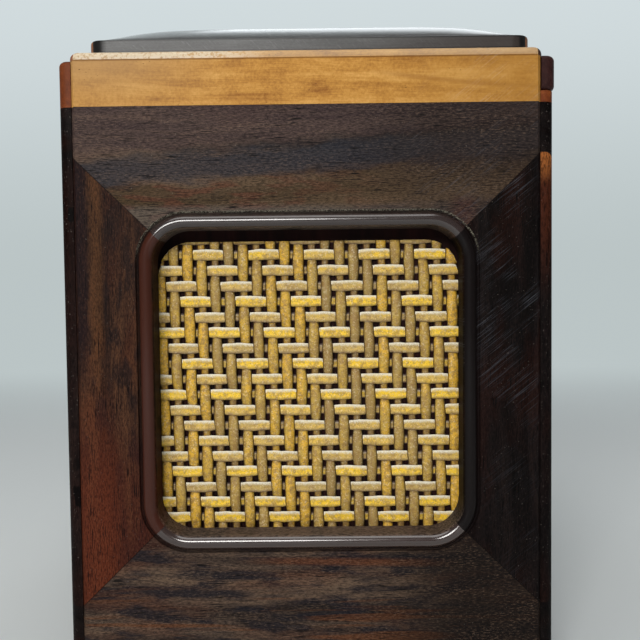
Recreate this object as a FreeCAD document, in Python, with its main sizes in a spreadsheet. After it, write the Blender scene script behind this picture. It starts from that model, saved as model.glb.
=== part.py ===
import FreeCAD, Part
import math
import os
import re
import Sketcher
from FreeCAD import Placement, Rotation, Vector

# A square hardwood tea caddy. Four framed walls each hold a woven bamboo sheet behind a beaded window.
# A domed lid slides out to the right, and its end piece is the upper part of the right wall.
# The origin is the middle of the underside, +Z is up and the front faces -Y. Sizes are in millimetres.
SIZES = [
    ("body_width", 120.0, "left face to right face"),
    ("body_depth", 120.0, "front face to back face"),
    ("body_height", 157.0, "underside to the shoulder below the rim"),
    ("wall_thickness", 9.0, "all four walls"),
    ("lap_thickness", 3.4, "edge of a side wall that covers the end of the front or back wall"),
    ("lap_setback", 0.5, "side wall's edge, behind the front or back face"),
    ("lap_round", 2.4, "upright outer edges of the side walls"),
    ("face_bevel", 0.8, "upright outer edges of the front and back walls"),
    ("band_height", 11.3, "top band, from the shoulder down"),
    ("base_height", 11.3, "base band"),
    ("front_shoulder_round", 0.4, "outer edge of the shoulder on the front and back walls"),
    ("side_shoulder_round", 1.4, "outer edge of the shoulder on the side walls"),
    ("rim_height", 2.75, "rim above the shoulder"),
    ("rim_setback", 2.0, "rim behind the wall's face"),
    ("rim_round", 1.7, "upper outer edge of the rim"),
    ("rim_corner", 2.6, "rim's corners in plan"),
    ("ring_size", 82.0, "outside of the bead round a window"),
    ("ring_corner", 11.5, "outside corner of the bead"),
    ("bead_width", 3.4, "half-round bead"),
    ("bead_proud", 1.1, "bead's crest in front of the face"),
    ("bead_lip", 0.15, "bead over the edge of the window"),
    ("quirk_width", 0.9, "thin groove round the bead"),
    ("quirk_overlap", 0.1, "groove under the edge of the bead"),
    ("mitre_end", 55.2, "outer end of a wall's mitre above or below the window's middle"),
    ("rabbet_lap", 3.0, "frame over the edge of sheet and backing"),
    ("rabbet_corner", 2.0, "corner of the rabbet"),
    ("sheet_thickness", 1.2, "room for the woven sheet"),
    ("backing_thickness", 1.7, "board behind the woven sheet"),
    ("sheet_drop", 2.8, "sheet's upper edge below the window's"),
    ("sheet_corner", 8.1, "sheet's upper corners"),
    ("strip_thickness", 0.5, "one bamboo strip"),
    ("strip_room", 0.03, "strips clear of the frame and of the backing"),
    ("warp_width", 2.5, "upright strip"),
    ("warp_pitch", 3.5, "upright strips, middle to middle"),
    ("warp_offset", 1.45, "middle upright strip to the right of the window's middle"),
    ("weft_width", 2.6, "level strip"),
    ("weft_pitch", 3.935, "level strips, middle to middle"),
    ("weft_offset", 0.05, "middle level strip above the window's middle"),
    ("edge_room", 0.2, "strips and backing inside their rabbet"),
    ("bottom_thickness", 6.0, "bottom board"),
    ("groove_height", 2.7, "lid groove"),
    ("groove_depth", 2.6, "lid groove in the front and back bands"),
    ("end_groove_depth", 2.0, "lid groove in the left band"),
    ("groove_below_rim", 3.2, "wood between lid groove and top of the rim"),
    ("lid_room", 0.2, "clearance round the lid"),
    ("tongue_room", 0.15, "clearance above and below the lid's tongue"),
    ("cap_setback", 4.0, "cap of the lid behind the faces of the front, back and right walls"),
    ("cap_left_setback", 5.8, "cap behind the face of the left wall"),
    ("cap_corner", 5.2, "cap's corners in plan"),
    ("cap_face", 3.0, "upright edge of the cap"),
    ("crown_rise", 8.4, "middle of the cap above its edge"),
    ("cap_frame_width", 9.0, "mitred frame round the cap"),
    ("pull_height", 11.15, "lid's end piece"),
    ("pull_proud", 0.5, "end piece in front of the right wall's face"),
    ("pull_round", 1.2, "lower outer edge of the end piece"),
]
ALIASES = {alias for alias, value, meaning in SIZES}
# The crown rises as a power of the distance from the cap's middle, on a grid that runs past its edges.
CROWN_POWER = 7
CROWN_POINTS = 29
CROWN_REACH = 1.06
# The most of a thin edge that its rounding may take.
ROUND_SHARE = 0.87
# Cutting outlines run past the wood by PAST, and cuts through everything are FAR long.
PAST = 10.0
FAR = 400.0
TOUCH = 0.001

doc = FreeCAD.newDocument("tea_caddy")
sheet = doc.addObject("Spreadsheet::Sheet", "sizes")
for row, (alias, value, meaning) in enumerate(SIZES, start=1):
    sheet.set(f"A{row}", alias)
    sheet.set(f"B{row}", str(value))
    sheet.set(f"C{row}", meaning)
    sheet.setAlias(f"B{row}", alias)
doc.recompute()
nodes = []


def expression(text):
    """Points each size named in the text to its cell."""
    return re.sub(r"[a-z_]+", lambda word: f"sizes.{word[0]}" if word[0] in ALIASES else word[0], text)


def amount(text):
    """The present value of an expression of sizes."""
    return float(sheet.evalExpression(expression(text)))


def bind(item, name, text):
    item.setExpression(name, expression(text))


def block(name, low, extent):
    """A box from its lowest corner and its extent, both as expressions."""
    box = doc.addObject("Part::Box", name)
    for side, text in zip(("Length", "Width", "Height"), extent):
        bind(box, side, text)
    for axis, text in zip("xyz", low):
        bind(box, f"Placement.Base.{axis}", text)
    return box


def boolean(kind, name, base, tool):
    result = doc.addObject(f"Part::{kind}", name)
    result.Base = base
    result.Tool = tool
    return result


def keep(item, label, turn=0.0):
    """Names a finished piece and turns it about the box's upright axis to its wall."""
    item.Label = label
    item.Placement = Placement(Vector(), Rotation(Vector(0, 0, 1), turn))
    nodes.append(item)


def origin_plane(body, role):
    return next(plane for plane in body.Origin.OriginFeatures if plane.Role == role)


def polygon(body, role, name, corners):
    """A closed outline on one of the body's own planes, with each corner bound to the sizes."""
    sketch = body.newObject("Sketcher::SketchObject", name)
    sketch.AttachmentSupport = [(origin_plane(body, role), "")]
    sketch.MapMode = "FlatFace"
    points = [Vector(amount(across), amount(up), 0) for across, up in corners]
    for start, end in zip(points, points[1:] + points[:1]):
        sketch.addGeometry(Part.LineSegment(start, end))
    count = len(points)
    for index in range(count):
        sketch.addConstraint(Sketcher.Constraint("Coincident", index, 2, (index + 1) % count, 1))
    for index, (across, up) in enumerate(corners):
        for kind, text, value in (("DistanceX", across, points[index].x), ("DistanceY", up, points[index].y)):
            number = sketch.addConstraint(Sketcher.Constraint(kind, -1, 1, index, 1, value))
            bind(sketch, f"Constraints[{number}]", text)
    return sketch


def rectangle(body, role, name, low, high):
    return polygon(body, role, name, [low, (high[0], low[1]), high, (low[0], high[1])])


def pad(body, name, sketch, length):
    feature = body.newObject("PartDesign::Pad", name)
    feature.Profile = sketch
    bind(feature, "Length", length)
    return feature


def pocket(body, name, sketch):
    """Cuts the outline right through the body, to both sides of its plane."""
    feature = body.newObject("PartDesign::Pocket", name)
    feature.Profile = sketch
    feature.Midplane = True
    feature.Length = FAR
    return feature


def raise_sketch(sketch, text):
    bind(sketch, "AttachmentOffset.Base.z", text)


def soften(body, kind, name, radius, chosen):
    """Rounds or bevels the edges whose middles pass the test, as a feature of the body."""
    doc.recompute()
    shape = body.Shape
    edges = []
    for number, edge in enumerate(shape.Edges, start=1):
        middle = edge.valueAt((edge.FirstParameter + edge.LastParameter) / 2)
        if chosen(edge.BoundBox, middle):
            edges.append(f"Edge{number}")
    if not edges:
        raise RuntimeError(f"no edges for {name} on {body.Name}")
    last = body.Tip
    feature = body.newObject(f"PartDesign::{kind}", name)
    feature.Base = (last, edges)
    bind(feature, "Radius" if kind == "Fillet" else "Size", radius)
    return feature


def close(first, second):
    return abs(first - second) < TOUCH


def runs(length):
    """Whether an edge has any extent in a direction."""
    return length > TOUCH


# Heights shared by the walls and the lid.
MIDDLE = "body_height / 2"
BAND_LOW = "body_height - band_height"
RIM_TOP = "body_height + rim_height"
GROOVE_TOP = f"{RIM_TOP} - groove_below_rim"
GROOVE_LOW = f"{GROOVE_TOP} - groove_height"
PULL_LOW = f"{RIM_TOP} - pull_height"
CAP_LOW = f"{RIM_TOP} + lid_room"
# The cap's middle, which lies a little to the right of the upright axis, and its reach from there.
CAP_MIDDLE = "((cap_left_setback - cap_setback) / 2)"
CAP_ACROSS = "(body_width / 2 - (cap_setback + cap_left_setback) / 2)"
CAP_ALONG = "(body_depth / 2 - cap_setback)"
# The window's reach from its middle, and the depth of its recess.
WINDOW = "ring_size / 2 - bead_width + bead_lip"
RECESS = "(wall_thickness - backing_thickness - sheet_thickness)"
# Roundings that are limited by what they lie on.
RIM_ROUND = f"min(rim_round; {ROUND_SHARE} * rim_corner)"
SIDE_SHOULDER_ROUND = f"min(side_shoulder_round; {ROUND_SHARE} * (rim_setback - lap_setback))"

# Each wall is drawn as if it were the front one, facing -Y, and then turned to its side.
# out is the distance from the upright axis to the wall's face, reach is half the box along the wall, and
# half is half the wall's own length.
FRONT_WALL = {"kind": "front", "lapped": False, "shoulder": "front_shoulder_round",
              "out": "body_depth / 2", "reach": "body_width / 2", "half": "body_width / 2 - lap_thickness"}
SIDE_WALL = {"kind": "side", "lapped": True, "shoulder": SIDE_SHOULDER_ROUND,
             "out": "body_width / 2", "reach": "body_depth / 2", "half": "body_depth / 2 - lap_setback"}
SIDE_NECK = "body_depth / 2 - wall_thickness"
SIDE_LAP = "body_width / 2 - lap_thickness"
WALLS = {
    "front": (FRONT_WALL, 0.0),
    "right": (SIDE_WALL, 90.0),
    "back": (FRONT_WALL, 180.0),
    "left": (SIDE_WALL, 270.0),
}


def wall_blank(name, wall, low, height, proud="0", room="0"):
    """A length of wall between two heights: plain for the front, with a lap at each end for a side."""
    body = doc.addObject("PartDesign::Body", name)
    half = wall["half"]
    face = f"-({wall['out']} + {proud})"
    inner = f"-({wall['out']} - wall_thickness)"
    if wall["lapped"]:
        neck = f"({SIDE_NECK} - {room})"
        lap = f"-({SIDE_LAP} + {room})"
        corners = [
            (f"-({half})", face), (half, face), (half, lap), (neck, lap),
            (neck, inner), (f"-{neck}", inner), (f"-{neck}", lap), (f"-({half})", lap),
        ]
    else:
        corners = [(f"-({half})", face), (half, face), (half, inner), (f"-({half})", inner)]
    plan = polygon(body, "XY_Plane", f"{name}_plan", corners)
    raise_sketch(plan, low)
    pad(body, f"{name}_pad", plan, height)
    half_value = amount(half)
    face_value = amount(face)

    def outer_upright(box, middle):
        return close(abs(middle.x), half_value) and close(middle.y, face_value) and runs(box.ZLength)

    if wall["lapped"]:
        soften(body, "Fillet", f"{name}_corners", "lap_round", outer_upright)
    else:
        soften(body, "Chamfer", f"{name}_corners", "face_bevel", outer_upright)
    return body


def round_shoulder(body, name, wall, proud="0"):
    """Rounds the outer upper edge of a length of wall, and the ends of its laps."""
    shoulder = amount("body_height")
    face_value = -amount(f"{wall['out']} + {proud}")
    half_value = amount(wall["half"])

    def outer_edge(box, middle):
        level = close(middle.z, shoulder) and not runs(box.ZLength)
        slanted = runs(box.XLength) and runs(box.YLength)
        end = wall["lapped"] and close(abs(middle.x), half_value)
        return level and (slanted or end or close(middle.y, face_value))

    soften(body, "Fillet", f"{name}_shoulder_edge", wall["shoulder"], outer_edge)


def rim_slab(name, wall):
    """The shape that all the rims share: one slab with rounded corners and a rounded upper edge."""
    body = doc.addObject("PartDesign::Body", name)
    across = f"({wall['reach']} - rim_setback)"
    along = f"({wall['out']} - rim_setback)"
    outline = rectangle(body, "XY_Plane", f"{name}_outline", (f"-{across}", f"-{along}"), (across, along))
    raise_sketch(outline, f"body_height - {PAST}")
    pad(body, f"{name}_pad", outline, f"rim_height + {PAST}")
    top = amount(RIM_TOP)
    soften(body, "Fillet", f"{name}_corners", "rim_corner", lambda box, middle: runs(box.ZLength))
    soften(body, "Fillet", f"{name}_edge", RIM_ROUND,
           lambda box, middle: close(middle.z, top) and not runs(box.ZLength))
    return body


def with_rim(body, name, wall, slab, room="0"):
    """Sets the rim on a length of wall: the part of the shared slab that lies over the wall's plan."""
    over = wall_blank(f"{name}_over", wall, "body_height", "rim_height", "0", room)
    joined = boolean("Fuse", f"{name}_with_rim", body, boolean("Common", f"{name}_rim", over, slab))
    joined.Refine = True
    return joined


def top_band(side, slabs):
    """The band above the frame, with the rim on it and the groove for the lid's tongue inside."""
    wall, turn = WALLS[side]
    name = f"{side}_band"
    if side == "right":
        band = wall_blank(name, wall, BAND_LOW, f"{PULL_LOW} - lid_room - ({BAND_LOW})")
    else:
        body = wall_blank(name, wall, BAND_LOW, "band_height")
        round_shoulder(body, name, wall)
        rimmed = with_rim(body, name, wall, slabs[wall["kind"]])
        depth = "end_groove_depth" if side == "left" else "groove_depth"
        bottom = f"-({wall['out']} - wall_thickness + {depth})"
        groove = block(f"{name}_groove", (f"-{FAR / 2}", bottom, GROOVE_LOW),
                       (f"{FAR}", f"{depth} + {PAST}", "groove_height"))
        band = boolean("Cut", f"{name}_grooved", rimmed, groove)
    keep(band, f"{side}_top_band", turn)


def base_band(side):
    """The band below the frame, rebated underneath for the bottom board."""
    wall, turn = WALLS[side]
    name = f"{side}_base"
    body = wall_blank(name, wall, "0", "base_height")
    inner = f"-({wall['out']} - wall_thickness"
    rebate = rectangle(body, "YZ_Plane", f"{name}_rebate_outline",
                       (f"{inner} + wall_thickness - lap_thickness)", f"-{PAST}"),
                       (f"{inner} - {PAST})", "bottom_thickness"))
    pocket(body, f"{name}_rebate", rebate)
    keep(body, f"{side}_base_band", turn)


def bead_ring(name, out, offset, radius, sunk):
    """A round moulding along a square with rounded corners, in the plane of a window's face."""
    corner_middle = "(ring_size / 2 - ring_corner)"
    reach = f"(ring_size / 2 - bead_width / 2 + {offset})"
    bend = f"(ring_corner - bead_width / 2 + {offset})"
    depth = f"-({out} - {sunk})"
    pieces = []
    for number in range(4):
        level = number % 2 == 0
        sign = "" if number < 2 else "-"
        rod = doc.addObject("Part::Cylinder", f"{name}_rod_{number}")
        bind(rod, "Radius", radius)
        bind(rod, "Height", f"2 * {corner_middle}")
        if level:
            rod.Placement = Placement(Vector(), Rotation(Vector(0, 1, 0), 90))
            place = (f"-{corner_middle}", depth, f"{MIDDLE} + {sign}1 * {reach}")
        else:
            place = (f"{sign}1 * {reach}", depth, f"{MIDDLE} - {corner_middle}")
        elbow = doc.addObject("Part::Torus", f"{name}_elbow_{number}")
        bind(elbow, "Radius1", bend)
        bind(elbow, "Radius2", radius)
        elbow.Angle3 = 90
        elbow.Placement = Placement(Vector(), Rotation(Vector(0, 1, 0), 90 * number)
                                    .multiply(Rotation(Vector(1, 0, 0), 90)))
        across = "" if number in (0, 1) else "-"
        up = "" if number in (0, 3) else "-"
        elbow_place = (f"{across}1 * {corner_middle}", depth, f"{MIDDLE} + {up}1 * {corner_middle}")
        for piece, spot in ((rod, place), (elbow, elbow_place)):
            for axis, text in zip("xyz", spot):
                bind(piece, f"Placement.Base.{axis}", text)
            pieces.append(piece)
    ring = doc.addObject("Part::MultiFuse", name)
    ring.Shapes = pieces
    return ring


def window_cut(body, name, reach, corner, depth_from, depth_to):
    """Cuts a square hole with rounded corners through part of the wall's thickness."""
    hole = rectangle(body, "XZ_Plane", f"{name}_outline",
                     (f"-({reach})", f"{MIDDLE} - ({reach})"), (reach, f"{MIDDLE} + {reach}"))
    raise_sketch(hole, depth_to)
    feature = body.newObject("PartDesign::Pocket", name)
    feature.Profile = hole
    bind(feature, "Length", f"{depth_to} - ({depth_from})")
    before = body.Shape.Volume
    doc.recompute()
    if close(body.Shape.Volume, before):
        raise RuntimeError(f"{name} cuts nothing")
    reach_value = amount(reach)
    low = amount(depth_from)
    high = amount(depth_to)

    def inner_corner(box, middle):
        return (close(abs(middle.x), reach_value) and close(abs(middle.z - amount(MIDDLE)), reach_value)
                and low - TOUCH < -middle.y < high + TOUCH and runs(box.YLength))

    soften(body, "Fillet", f"{name}_corners", corner, inner_corner)


def framed_wall(wall):
    """The four mitred members of a wall in one blank: window, rabbet behind it, quirk and bead."""
    kind = wall["kind"]
    body = wall_blank(f"{kind}_frame", wall, "base_height", f"{BAND_LOW} - base_height")
    out = wall["out"]
    window_cut(body, f"{kind}_window", WINDOW, "ring_corner - bead_width + bead_lip",
               f"{out} - wall_thickness - {PAST}", f"{out} + {PAST}")
    window_cut(body, f"{kind}_rabbet", f"{WINDOW} + rabbet_lap", "rabbet_corner",
               f"{out} - wall_thickness - {PAST}", f"{out} - {RECESS}")
    quirk = bead_ring(f"{kind}_quirk", out, "(bead_width + quirk_width) / 2 - quirk_overlap",
                      "quirk_width / 2", "0")
    grooved = boolean("Cut", f"{kind}_grooved", body, quirk)
    bead = bead_ring(f"{kind}_bead", out, "0", "bead_width / 2", "(bead_width / 2 - bead_proud)")
    return boolean("Fuse", f"{kind}_moulded", grooved, bead)


def mitre_quarter(name, wall, part):
    """The room of one member between its two mitres, which run from the window's middle past the wall."""
    body = doc.addObject("PartDesign::Body", name)
    sign = "-" if part in ("left_stile", "bottom_rail") else ""
    corners = []
    for distance, side in ((PAST, "-"), (PAST, ""), (FAR, ""), (FAR, "-")):
        along = f"{distance}"
        rise = f"{distance} * mitre_end / ({wall['half']})"
        if part.endswith("rail"):
            corners.append((f"{side}{along}", f"{MIDDLE} + {sign}1 * {rise}"))
        else:
            corners.append((f"{sign}{along}", f"{MIDDLE} + {side}1 * {rise}"))
    quarter = pad(body, f"{name}_pad", polygon(body, "XZ_Plane", f"{name}_outline", corners), f"{FAR}")
    quarter.Midplane = True
    return body


def frame_members():
    """Cuts each wall's blank along its mitres and turns the members to their places."""
    members = {}
    for wall in (FRONT_WALL, SIDE_WALL):
        blank = framed_wall(wall)
        for part in ("top_rail", "left_stile", "bottom_rail", "right_stile"):
            members[wall["kind"], part] = (blank, mitre_quarter(f"{wall['kind']}_{part}_room", wall, part))
    for side, (wall, turn) in WALLS.items():
        for (kind, part), (blank, room) in members.items():
            if kind == wall["kind"]:
                keep(boolean("Common", f"{side}_{part}", blank, room), f"{side}_{part}", turn)


def backing_board(side):
    """The thin board behind the woven sheet, flush with the inside of the wall."""
    wall, turn = WALLS[side]
    name = f"{side}_backing"
    body = doc.addObject("PartDesign::Body", name)
    reach = f"({WINDOW} + rabbet_lap - edge_room)"
    outline = rectangle(body, "XZ_Plane", f"{name}_outline",
                        (f"-{reach}", f"{MIDDLE} - {reach}"), (reach, f"{MIDDLE} + {reach}"))
    raise_sketch(outline, f"{wall['out']} - wall_thickness")
    pad(body, f"{name}_pad", outline, "backing_thickness")
    soften(body, "Fillet", f"{name}_corners", "rabbet_corner", lambda box, middle: runs(box.YLength))
    keep(body, f"{side}_backing_board", turn)


def strip_places(kind, hidden):
    """The middles of the strips of one kind, by their numbers, as far as they fit into the rabbet."""
    width, pitch, offset = (amount(f"{kind}_{size}") for size in ("width", "pitch", "offset"))
    first = math.ceil((width / 2 - hidden - offset) / pitch)
    last = math.floor((hidden - width / 2 - offset) / pitch)
    return {number: offset + number * pitch for number in range(first, last + 1)}


def strip_solid(crossings, start, end, over, gap, thickness, width, lay):
    """One strip that runs over and under the strips it meets. lay turns it into the wall."""
    half = thickness / 2
    reached = [(low, high, gap if over(index) else -gap) for index, low, high in crossings
               if low < end and high > start]
    path = [(start, reached[0][2])]
    for (low, high, rise), (next_low, next_high, next_rise) in zip(reached, reached[1:]):
        if rise != next_rise:
            path += [(high, rise), (next_low, next_rise)]
    path.append((end, reached[-1][2]))
    outline = [lay(along, rise + half, -width / 2) for along, rise in path]
    outline += [lay(along, rise - half, -width / 2) for along, rise in reversed(path)]
    face = Part.Face(Part.makePolygon(outline + outline[:1]))
    return face.extrude(lay(0, 0, width / 2) - lay(0, 0, -width / 2))


def woven_sheet(side):
    """A twill of bamboo strips: every strip goes over two and under two, one step on from its neighbour.
    Columns are numbered to the right and rows downwards. The sheet's upper edge is cut straight, with
    rounded corners, through the uppermost level strip."""
    wall, turn = WALLS[side]
    thickness = amount("strip_thickness")
    gap = amount("(sheet_thickness - strip_thickness) / 2 - strip_room")
    window = amount(WINDOW)
    hidden = window + amount("rabbet_lap - 2 * edge_room")
    top = window - amount("sheet_drop")
    corner = amount("sheet_corner")
    middle = amount(MIDDLE)
    plane = -amount(f"{wall['out']} - {RECESS} - sheet_thickness / 2")
    widths = {"warp": amount("warp_width"), "weft": amount("weft_width")}
    column_places = strip_places("warp", hidden)
    row_places = {-number: place for number, place in strip_places("weft", hidden).items()}

    def weft_over(column, row):
        return (column - row) % 4 < 2

    def rounded(past):
        """How far a rounded upper corner still reaches, at a distance past the start of its arc."""
        return math.sqrt(corner ** 2 - min(max(past, 0), corner) ** 2)

    warps = []
    crossings = [(row, place - widths["weft"] / 2, place + widths["weft"] / 2)
                 for row, place in sorted(row_places.items(), key=lambda item: item[1])]
    for column, place in column_places.items():
        past = abs(place) + widths["warp"] / 4 - (window - corner)
        warps.append(strip_solid(
            crossings, -hidden, top - corner + rounded(past),
            lambda row, column=column: not weft_over(column, row), gap, thickness, widths["warp"],
            lambda along, rise, across, place=place: Vector(place + across, plane - rise, middle + along)))
    wefts = []
    crossings = [(column, place - widths["warp"] / 2, place + widths["warp"] / 2)
                 for column, place in column_places.items()]
    for row, place in row_places.items():
        low_edge = place - widths["weft"] / 2
        high_edge = min(place + widths["weft"] / 2, top)
        width = high_edge - low_edge
        if width < thickness:
            continue
        centre = middle + (low_edge + high_edge) / 2
        past = (low_edge + 3 * high_edge) / 4 - (top - corner)
        reach = hidden if past <= 0 else window - corner + rounded(past)
        wefts.append(strip_solid(
            crossings, -reach, reach,
            lambda column, row=row: weft_over(column, row), gap, thickness, width,
            lambda along, rise, across, centre=centre: Vector(along, plane - rise, centre + across)))
    for kind, strips in (("upright", warps), ("level", wefts)):
        feature = doc.addObject("Part::Feature", f"{side}_{kind}_strips")
        feature.Shape = Part.makeCompound(strips)
        keep(feature, f"{side}_{kind}_strips", turn)


def bottom_board():
    """The bottom, let into the rebate of the four base bands."""
    body = doc.addObject("PartDesign::Body", "bottom")
    across = "(body_width / 2 - lap_thickness)"
    along = "(body_depth / 2 - lap_thickness)"
    outline = rectangle(body, "XY_Plane", "bottom_outline", (f"-{across}", f"-{along}"), (across, along))
    pad(body, "bottom_pad", outline, "bottom_thickness")
    keep(body, "bottom_board")


def lid_board():
    """The lid's board: a thin tongue for the grooves, and a thicker middle that carries the cap."""
    body = doc.addObject("PartDesign::Body", "board")
    inner_x = "(body_width / 2 - wall_thickness)"
    inner_y = "(body_depth / 2 - wall_thickness)"
    tongue = rectangle(body, "XY_Plane", "tongue_outline",
                       (f"-({inner_x} + end_groove_depth - lid_room)",
                        f"-({inner_y} + groove_depth - lid_room)"),
                       (inner_x, f"{inner_y} + groove_depth - lid_room"))
    raise_sketch(tongue, f"{GROOVE_LOW} + tongue_room")
    pad(body, "tongue_pad", tongue, "groove_height - 2 * tongue_room")
    raised = rectangle(body, "XY_Plane", "raised_outline",
                       (f"-({inner_x} - lid_room)", f"-({inner_y} - lid_room)"),
                       (inner_x, f"{inner_y} - lid_room"))
    raise_sketch(raised, f"{GROOVE_LOW} + tongue_room")
    pad(body, "raised_pad", raised, f"{CAP_LOW} - ({GROOVE_LOW}) - tongue_room")
    keep(body, "lid_board")


def end_piece(slab):
    """The lid's end piece and pull: it closes the top of the right wall and carries on its rim."""
    wall, turn = WALLS["right"]
    body = wall_blank("pull", wall, PULL_LOW, f"body_height - ({PULL_LOW})", "pull_proud", "lid_room")
    round_shoulder(body, "pull", wall, "pull_proud")
    face_value = -amount(f"{wall['out']} + pull_proud")
    low = amount(PULL_LOW)
    soften(body, "Fillet", "pull_lower_edge", "pull_round",
           lambda box, middle: close(middle.z, low) and close(middle.y, face_value))
    keep(with_rim(body, "pull", wall, slab, "lid_room"), "lid_end_piece", turn)


def crown_surface():
    """A cushion-shaped surface over the cap: level at the edges, steep inside them, flat in the middle."""
    half_across = amount(CAP_ACROSS)
    half_along = amount(CAP_ALONG)
    centre = amount(CAP_MIDDLE)
    edge = amount(f"{CAP_LOW} + cap_face")
    rise = amount("crown_rise")
    count = CROWN_POINTS
    steps = [2 * index / (count - 1) - 1 for index in range(count)]
    places = [CROWN_REACH * math.sin(math.pi / 2 * step) for step in steps]

    def height(across, along):
        return edge + rise * (1 - abs(across) ** CROWN_POWER) * (1 - abs(along) ** CROWN_POWER)

    grid = [[Vector(centre + half_across * across, half_along * along, height(across, along))
             for along in places] for across in places]
    surface = Part.BSplineSurface()
    surface.interpolate(grid)
    return surface.toShape()


def mitre_wedge(name, across, along, turn):
    """A tall quarter whose two upright faces are mitre planes that meet at the given place."""
    wedge = block(name, (across, along, f"{CAP_LOW} - {FAR / 2}"), (f"{FAR}", f"{FAR}", f"{FAR}"))
    wedge.Placement.Rotation = Rotation(Vector(0, 0, 1), turn)
    return wedge


def lid_cap():
    """The cap: a mitred frame round a field, all shaped together to the same crown. Each mitre runs through
    a corner of the cap at 45 degrees."""
    room_above = doc.addObject("Part::Feature", "above_crown")
    room_above.Shape = crown_surface().extrude(Vector(0, 0, FAR))
    body = doc.addObject("PartDesign::Body", "cap_block")
    outline = rectangle(body, "XY_Plane", "cap_outline",
                        (f"{CAP_MIDDLE} - {CAP_ACROSS}", f"-{CAP_ALONG}"),
                        (f"{CAP_MIDDLE} + {CAP_ACROSS}", CAP_ALONG))
    raise_sketch(outline, CAP_LOW)
    pad(body, "cap_pad", outline, f"cap_face + crown_rise + {PAST}")
    soften(body, "Fillet", "cap_corners", "cap_corner", lambda box, middle: runs(box.ZLength))
    crowned = boolean("Cut", "crowned_cap", body, room_above)
    across = f"({CAP_ACROSS} - cap_frame_width)"
    along = f"({CAP_ALONG} - cap_frame_width)"
    inner = block("field_block", (f"{CAP_MIDDLE} - {across}", f"-{along}", f"{CAP_LOW} - {PAST}"),
                  (f"2 * {across}", f"2 * {along}", f"cap_face + crown_rise + 2 * {PAST}"))
    keep(boolean("Common", "lid_field", crowned, inner), "lid_field")
    surround = boolean("Cut", "cap_surround", crowned, inner)
    shift = f"({CAP_ALONG} - {CAP_ACROSS})"
    wedges = {
        "front": (225, CAP_MIDDLE, f"-{shift}"),
        "right": (-45, f"{CAP_MIDDLE} - {shift}", "0"),
        "back": (45, CAP_MIDDLE, shift),
        "left": (135, f"{CAP_MIDDLE} + {shift}", "0"),
    }
    for part, (turn, across, along) in wedges.items():
        wedge = mitre_wedge(f"lid_{part}_wedge", across, along, turn)
        keep(boolean("Common", f"lid_{part}", surround, wedge), f"lid_{part}_frame")


frame_members()
rim_slabs = {wall["kind"]: rim_slab(f"{wall['kind']}_rim_slab", wall) for wall in (FRONT_WALL, SIDE_WALL)}
for wall_side in WALLS:
    top_band(wall_side, rim_slabs)
    base_band(wall_side)
    backing_board(wall_side)
    woven_sheet(wall_side)
bottom_board()
lid_board()
end_piece(rim_slabs["side"])
lid_cap()
doc.recompute()

for item in doc.Objects:
    if "Invalid" in item.State or "Error" in item.State:
        raise RuntimeError(f"{item.Name} failed: {item.State}")
os.makedirs("parts", exist_ok=True)
for item in nodes:
    shape = item.Shape
    if shape.isNull() or not shape.isValid() or not shape.Solids:
        raise RuntimeError(f"{item.Label} is not a valid solid")
    shape.exportStep(f"parts/{item.Label}.step")
    print(f"{item.Label}: {len(shape.Solids)} solid(s), {shape.Volume:.1f} mm3")
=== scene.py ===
import math

import bpy
from mathutils import Matrix, Vector


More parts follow.
